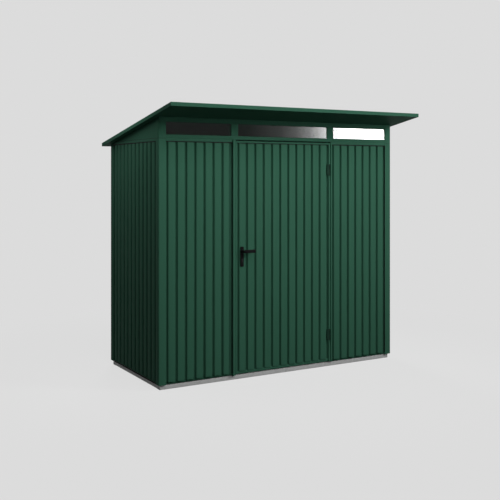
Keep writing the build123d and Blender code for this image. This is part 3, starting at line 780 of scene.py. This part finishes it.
# Hinges. Two lift-off hinges hang the leaf at the right, their plates screwed to the stile and their pins
# on lugs in the gap. The plates are painted a darker green than the sheets and the knuckles.
HINGE_DARK = (0.0090, 0.0270, 0.0182, 1.0)
HINGE_PALE = (0.0115, 0.0340, 0.0228, 1.0)
HINGE_HEIGHT = 0.100
HINGE_PLATE = (0.034, 0.004)
HINGE_EDGE = 0.005
KNUCKLE_RADIUS = 0.0065
KNUCKLE_GAP = 0.0005
PIN_RADIUS = 0.004
PIN_CLEARANCE = 0.00005
LUG = (0.0025, 0.030)
HINGE_CORNER = 0.004
HINGE_SCREW = 0.0045
SCREW_ACROSS_SHARES = np.array([0.25, 0.75])
SCREW_UP_SHARES = np.array([-0.36, 0.36])
DOME_SHARES = np.array([(0.0, 0.0), (0.1, 0.3), (0.5, 0.5)])

pin_x = (leaf_high.x + hinge_edge) / 2
pin_y = front_y - KNUCKLE_RADIUS - KNUCKLE_GAP
pins_low, pins_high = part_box("hinge_pins")
hinge_middles = (pins_low.z + HINGE_HEIGHT / 2, pins_high.z - HINGE_HEIGHT / 2)


def knuckle(radius, low, high, edge):
    """Rod about the hinge axis with chamfered ends."""
    rises = ((edge, low), (0.0, low + edge), (0.0, high - edge), (edge, high))
    return plate(ring_outline(radius, 32), rises, (pin_x * X + pin_y * Y, X, Y, Z))


def sleeve(low, high):
    """Tube about the hinge axis that turns on the pin."""
    return carry(ring_outline(KNUCKLE_RADIUS, 32), KNUCKLE_RADIUS - PIN_RADIUS - PIN_CLEARANCE, (low, high),
                 (pin_x * X + pin_y * Y, X, Y, Z), closed=True)


hinge_coat = soft_finish("hinge_coat", HINGE_DARK, HINGE_PALE, 0.45, 0.60, 300.0)
plate_edge = leaf_high.x - HINGE_EDGE
soft_edge = HINGE_PLATE[1] / 4
leaf_halves, sleeves, pin_halves = [], [], []
for middle in hinge_middles:
    bottom, top = middle - HINGE_HEIGHT / 2, middle + HINGE_HEIGHT / 2
    plate_sides = box_outline(plate_edge - HINGE_PLATE[0], plate_edge, bottom, top)
    outline = rounded(plate_sides, HINGE_CORNER, closed=True)
    rises = ((0.0, 0.0), (0.0, HINGE_PLATE[1] - soft_edge), (soft_edge, HINGE_PLATE[1]))
    leaf_halves.append(plate(outline, rises, (front_y * Y, X, Z, -Y)))
    wing = box_outline(plate_edge - HINGE_CORNER, pin_x - PIN_RADIUS, middle + KNUCKLE_GAP, top)
    leaf_halves.append(plate(wing, ((0.0, KNUCKLE_GAP), (0.0, HINGE_PLATE[1])), (front_y * Y, X, Z, -Y)))
    sleeves.append(sleeve(middle + KNUCKLE_GAP, top))
    across, rise = np.meshgrid(plate_edge - HINGE_PLATE[0] * SCREW_ACROSS_SHARES,
                               middle + HINGE_HEIGHT * SCREW_UP_SHARES)
    spots = across.reshape(-1, 1) * X + rise.reshape(-1, 1) * Z + (front_y - HINGE_PLATE[1]) * Y
    dome = plate(ring_outline(HINGE_SCREW, 20), HINGE_SCREW * DOME_SHARES, (0 * X, X, Z, -Y))
    leaf_halves.append(repeated(dome, spots))
    lug = box_outline(hinge_edge - LUG[0], hinge_edge, pin_y, front_y + LUG[1])
    pin_halves.append(plate(lug, ((0.0, bottom), (0.0, middle)), (0 * X, X, Y, Z)))
    pin_halves.append(knuckle(KNUCKLE_RADIUS, bottom, middle, soft_edge))
    pin_halves.append(knuckle(PIN_RADIUS, middle - soft_edge, top, soft_edge / 2))
hinge_plates = mesh_piece("hinge_plates", joined(*leaf_halves), hinge_coat, "door")
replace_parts(hinge_plates, "hinge_leaves")
mesh_piece("hinge_sleeves", joined(*sleeves), trim_painted_shade_coat, "door")
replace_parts(mesh_piece("hinge_lugs", joined(*pin_halves), trim_painted_shade_coat, "shed"), "hinge_pins")

# Lock and handle. Black plates inside and outside hold a lever on a common spindle, over a key cylinder.
# The lever is one cast bar, bent from its round neck into a flat grip; a zinc-plated case takes the lock.
HANDLE_DARK = (0.006, 0.006, 0.0065, 1.0)
HANDLE_PALE = (0.010, 0.010, 0.0105, 1.0)
KEY_DARK = (0.016, 0.016, 0.017, 1.0)
KEY_PALE = (0.026, 0.026, 0.027, 1.0)
PLATE_CORNER = 0.008
PLATE_RIM = 0.0025
PLATE_SCREW = 0.004
PLATE_SCREW_RISES = ((0.0, 0.0), (0.0004, 0.001), (0.002, 0.0016))
PLATE_SCREW_EDGE = 0.014
NECK_RADIUS = 0.011
LEVER_BEND = 0.014
LEVER_HALF_HEIGHT = 0.0145
LEVER_HALF_THICK = 0.006
LEVER_TIP = 0.008
LEVER_EASE_SHARE = 1.1
LEVER_TIP_SHARE = 0.15
LEVER_FLATNESS = 0.45
COLLAR_RADIUS = 0.0145
COLLAR_DEPTH = 0.004
COLLAR_RIM = 0.0015
KEY_SLOT = (0.0009, 0.0042)
KEY_SLOT_RISES = ((0.0, -0.0005), (0.0, 0.0002))

handle_black = soft_finish("handle_black", HANDLE_DARK, HANDLE_PALE, 0.32, 0.46, 500.0)
key_black = soft_finish("key_black", KEY_DARK, KEY_PALE, 0.30, 0.42, 700.0)
spindle_low, spindle_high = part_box("lever_spindle")
axis_x, axis_z = (spindle_low.x + spindle_high.x) / 2, (spindle_low.z + spindle_high.z) / 2


def soft_rim(depth, radius, steps=5):
    """Rises of a plate whose outer edge is a quarter circle: inset r(1 - cos t), height d - r(1 - sin t)."""
    turn = np.linspace(0.0, np.pi / 2, steps)
    return [(0.0, 0.0), *zip(radius * (1.0 - np.cos(turn)), depth - radius * (1.0 - np.sin(turn)))]


def ease(value):
    """Smooth step from 0 to 1: 3v^2 - 2v^3 between the limits."""
    value = np.clip(value, 0.0, 1.0)
    return value * value * (3.0 - 2.0 * value)


def lever(node, foot_y, grip_face, out):
    """Bar swept along a bent path, easing from a circle into a flat superellipse, with a rounded tip.

    A point is path + normal * t * c(turn) + up * h * s(turn), where c and s are powers of cosine and sine
    that keep their sign, and the half thickness t and half height h ease along the path's length.
    """
    grip_y = grip_face - out * LEVER_HALF_THICK
    tip_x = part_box(node)[1].x
    path = rounded([(axis_x, foot_y), (axis_x, grip_y), (tip_x, grip_y)], LEVER_BEND, steps=13)
    reach = np.concatenate([[0.0], np.cumsum(np.linalg.norm(np.diff(path, axis=0), axis=1))])
    tip_stops = reach[-1] - LEVER_TIP * (1.0 - np.sin(np.linspace(0.0, np.pi / 2, 7)))
    at = np.concatenate([np.linspace(0.0, reach[-1] - LEVER_TIP, 40)[:-1], tip_stops])
    middle = np.stack([np.interp(at, reach, path[:, 0]), np.interp(at, reach, path[:, 1])], axis=1)
    tangent = np.gradient(middle, at, axis=0)
    tangent /= np.linalg.norm(tangent, axis=1, keepdims=True)
    flat = ease((at - reach[1]) / (LEVER_EASE_SHARE * LEVER_BEND))
    into_tip = np.clip((at - reach[-1] + LEVER_TIP) / LEVER_TIP, 0.0, 1.0)
    close = np.sqrt(1.0 - into_tip ** 2)
    thick = (NECK_RADIUS + (LEVER_HALF_THICK - NECK_RADIUS) * flat) * np.maximum(close, LEVER_TIP_SHARE)
    tall = NECK_RADIUS + (LEVER_HALF_HEIGHT - NECK_RADIUS) * flat - LEVER_TIP * (1.0 - close)
    power = (1.0 - LEVER_FLATNESS * flat)[:, None]
    turn = np.linspace(0.0, 2 * np.pi, 36, endpoint=False)[None]
    wide = np.sign(np.cos(turn)) * np.abs(np.cos(turn)) ** power * thick[:, None]
    high = np.sign(np.sin(turn)) * np.abs(np.sin(turn)) ** power * tall[:, None]
    normal = np.stack([-tangent[:, 1], tangent[:, 0]], axis=1)
    plan = middle[:, None, :] + wide[:, :, None] * normal[:, None, :]
    points = np.concatenate([plan, axis_z + high[:, :, None]], axis=2).reshape(-1, 3)
    steps, count = np.arange(len(at) - 1), turn.shape[1]
    ends = np.arange(count)[None]
    bar = points, [strips(zip(steps, steps + 1), count), ends, ends + (len(at) - 1) * count]
    rises = [(inset, out * height) for inset, height in soft_rim(COLLAR_DEPTH, COLLAR_RIM)]
    collar = plate(ring_outline(COLLAR_RADIUS, 36), rises, (axis_x * X + foot_y * Y + axis_z * Z, X, Z, Y))
    piece = mesh_piece("cast_" + node, joined(bar, collar), handle_black, "handle")
    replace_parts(piece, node)


low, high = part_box("handle_plates")
plate_outline = rounded(box_outline(low.x, high.x, low.z, high.z), PLATE_CORNER, closed=True, steps=9)
outer_plate = plate(plate_outline, soft_rim(leaf_low.y - low.y, PLATE_RIM), (leaf_low.y * Y, X, Z, -Y))
inner_plate = plate(plate_outline, soft_rim(high.y - leaf_high.y, PLATE_RIM), (leaf_high.y * Y, X, Z, Y))
plate_screw = plate(ring_outline(PLATE_SCREW, 20), PLATE_SCREW_RISES, (0 * X, X, Z, Y))
spots = [axis_x * X + high.y * Y + z * Z for z in (low.z + PLATE_SCREW_EDGE, high.z - PLATE_SCREW_EDGE)]
handle_plates = joined(outer_plate, inner_plate, repeated(plate_screw, spots))
moulded_plates = mesh_piece("moulded_handle_plates", handle_plates, handle_black, "door")
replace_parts(moulded_plates, "handle_plates")

lever_low, lever_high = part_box("lever_outside")
lever("lever_outside", lever_high.y, lever_low.y, -1.0)
lever_low, lever_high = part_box("lever_inside")
lever("lever_inside", lever_low.y, lever_high.y, 1.0)

finish_node("key_cylinder", key_black)
finish_node("lever_spindle", zinc)
finish_node("lock_case", zinc)
low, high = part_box("key_cylinder")
key_z = high.z - (high.x - low.x) / 2
slot = box_outline(-KEY_SLOT[0], KEY_SLOT[0], -KEY_SLOT[1], KEY_SLOT[1])
slots = [plate(slot, KEY_SLOT_RISES, (axis_x * X + y * Y + key_z * Z, X, Z, out * Y))
         for y, out in ((low.y, -1.0), (high.y, 1.0))]
mesh_piece("key_slots", joined(*slots), seal_rubber_and_painted_shade, "door")

# Studio. A pale floor that keeps a soft shadow, a pale surround, soft boxes on all sides and a bright card
# that only shows as a reflection in the panes.
PALE = 0.716
FLOOR_REACH = 30.0
FLOOR_DROP = 0.0005
FLOOR_NEAR = 1.6
FLOOR_FAR = 3.6
FLOOR_SHADE = 0.08
FLOOR_LIT = 0.55
FLOOR_ALBEDO = 0.08


def studio_rays(tree):
    """1 for what the camera, a gloss or a pane looks at directly, 0 for light that falls on the object."""
    rays = add(tree, "LightPath").outputs
    either = reckon(tree, "MAXIMUM", rays["Is Camera Ray"], rays["Is Glossy Ray"])
    return reckon(tree, "MAXIMUM", either, rays["Is Transmission Ray"])


def show_by(tree, share, first, second):
    """Lets a material show its first shader where the share is 0, and its second where it is 1."""
    mix = add(tree, "MixShader", {0: share, 1: first, 2: second})
    feed(tree.nodes["Material Output"], {"Surface": mix.outputs["Shader"]})


def pale_floor(name):
    """Floor that looks as pale as the surround and takes a soft shadow near the object."""
    material, tree, shader, place = new_material(name)
    tree.nodes.remove(shader)
    reach = add(tree, "VectorMath", {0: place})
    reach.operation = "LENGTH"
    limits = {"From Min": FLOOR_NEAR, "From Max": FLOOR_FAR, "To Min": FLOOR_SHADE, "To Max": 0.0}
    fade = add(tree, "MapRange", {"Value": reach.outputs["Value"], **limits})
    fade.interpolation_type = "SMOOTHSTEP"
    near = fade.outputs["Result"]
    glow = reckon(tree, "SUBTRACT", PALE, reckon(tree, "MULTIPLY", near, FLOOR_LIT))
    tint = add(tree, "CombineColor", {"Red": near, "Green": near, "Blue": near}).outputs["Color"]
    shadow = add(tree, "BsdfDiffuse", {"Color": tint}).outputs["BSDF"]
    pale = add(tree, "Emission", {"Strength": glow}).outputs["Emission"]
    both = add(tree, "AddShader", {0: shadow, 1: pale}).outputs["Shader"]
    matt = add(tree, "BsdfDiffuse", {"Color": (FLOOR_ALBEDO, FLOOR_ALBEDO, FLOOR_ALBEDO, 1.0)})
    show_by(tree, studio_rays(tree), matt.outputs["BSDF"], both)
    return material


def stage_mesh(name, points, faces, material):
    """Mesh of the studio, not part of the object."""
    mesh = bpy.data.meshes.new(name)
    mesh.from_pydata(points, [], faces)
    mesh.materials.append(material)
    piece = bpy.data.objects.new(name, mesh)
    bpy.context.scene.collection.objects.link(piece)
    return piece


floor_sides = box_outline(-FLOOR_REACH, FLOOR_REACH, -FLOOR_REACH, FLOOR_REACH)
floor_corners = [(x, y, -FLOOR_DROP) for x, y in floor_sides]
stage_mesh("studio_floor", floor_corners, [(0, 1, 2, 3)], pale_floor("studio_floor"))

# The card stands in front of the shed on the right. Its brightness rises from left to right.
CARD_Y = -6.40
CARD_X = (1.0, 7.5)
CARD_Z = (2.20, 2.75)
CARD_STOPS = ((3.10, 0.16), (3.74, 0.50), (4.08, 1.15), (4.37, 2.6), (4.70, 7.2), (4.92, 14.0))


def card_glow(name):
    """Glow that only gloss rays see; its strength rises along X between the stops."""
    material, tree, shader, place = new_material(name)
    tree.nodes.remove(shader)
    across = add(tree, "SeparateXYZ", {"Vector": place}).outputs["X"]
    strength = CARD_STOPS[0][1]
    for (x0, s0), (x1, s1) in zip(CARD_STOPS, CARD_STOPS[1:]):
        limits = {"From Min": x0, "From Max": x1, "To Min": 0.0, "To Max": s1 - s0}
        rise = add(tree, "MapRange", {"Value": across, **limits})
        strength = reckon(tree, "ADD", strength, rise.outputs["Result"])
    glow = add(tree, "Emission", {"Strength": strength}).outputs["Emission"]
    clear = add(tree, "BsdfTransparent").outputs["BSDF"]
    show_by(tree, add(tree, "LightPath").outputs["Is Glossy Ray"], clear, glow)
    return material


card_corners = [(x, CARD_Y, z) for x, z in box_outline(*CARD_X, *CARD_Z)]
stage_mesh("reflection_card", card_corners, [(0, 1, 2, 3)], card_glow("reflection_card"))


def soft_lamp(name, place, aim, width, height, power, spread):
    """Rectangular soft box turned towards a point, its light narrowed to the spread in degrees."""
    lamp = bpy.data.lights.new(name, "AREA")
    lamp.spread = np.radians(spread)
    lamp.shape = "RECTANGLE"
    lamp.size, lamp.size_y = width, height
    lamp.energy = power
    holder = bpy.data.objects.new(name, lamp)
    bpy.context.scene.collection.objects.link(holder)
    holder.location = place
    holder.rotation_euler = (Vector(aim) - Vector(place)).to_track_quat("-Z", "Y").to_euler()
    return holder


# Each soft box has a place, a point that it faces, a width and height, a power and a spread in degrees
SOFT_BOXES = {
    "key_softbox": ((5.6, -5.8, 5.6), (-1.0, -0.4, 2.2), 1.6, 1.6, 66.0, 70.0),
    "right_softbox": ((3.4, -3.4, 2.5), (0.7, -0.4, 1.7), 1.0, 1.0, 17.5, 110.0),
    "overhead_softbox": ((0.2, -3.6, 5.2), (0.2, -0.4, 1.4), 1.4, 1.4, 20.6, 140.0),
    "overhead_left_softbox": ((-1.8, -3.6, 5.2), (-0.6, -0.4, 1.4), 1.4, 1.4, 21.0, 140.0),
    "front_softbox": ((-0.8, -6.5, 4.5), (-0.2, -0.4, 2.6), 3.0, 1.0, 25.8, 80.0),
    "low_softbox": ((-0.8, -7.0, 2.5), (-0.2, -0.4, 2.6), 3.0, 0.6, 9.5, 100.0),
    "side_softbox": ((-1.9, 0.1, 2.7), (-1.5, 0.1, 1.2), 0.4, 1.6, 9.4, 160.0),
    "rear_softbox": ((1.5, 5.5, 3.2), (0.4, 0.6, 1.3), 2.0, 1.0, 60.0, 90.0),
}
for name, settings in SOFT_BOXES.items():
    soft_lamp(name, *settings)

WORLD_LEVEL = 0.04
world = bpy.data.worlds.new("studio_surround")
bpy.context.scene.world = world
world.use_nodes = True
sky = world.node_tree
level = span(sky, studio_rays(sky), WORLD_LEVEL, PALE)
feed(sky.nodes["Background"], {"Color": (1.0, 1.0, 1.0, 1.0), "Strength": level})

# Camera at the photograph's place: level, turned to the right, with the frame shifted down.
CAMERA_PLACE = (-3.8426, -6.4372, 1.7392)
CAMERA_TURN = np.radians(-30.167)
CAMERA_SENSOR = 36.0
CAMERA_LENS = 58.77
CAMERA_SHIFT = -0.1522

camera_data = bpy.data.cameras.new("camera")
camera_data.sensor_width = CAMERA_SENSOR
camera_data.lens = CAMERA_LENS
camera_data.shift_y = CAMERA_SHIFT
camera = bpy.data.objects.new("camera", camera_data)
bpy.context.scene.collection.objects.link(camera)
camera.location = CAMERA_PLACE
camera.rotation_euler = (np.radians(90.0), 0.0, CAMERA_TURN)
bpy.context.scene.camera = camera
bpy.context.scene.view_settings.view_transform = "Standard"
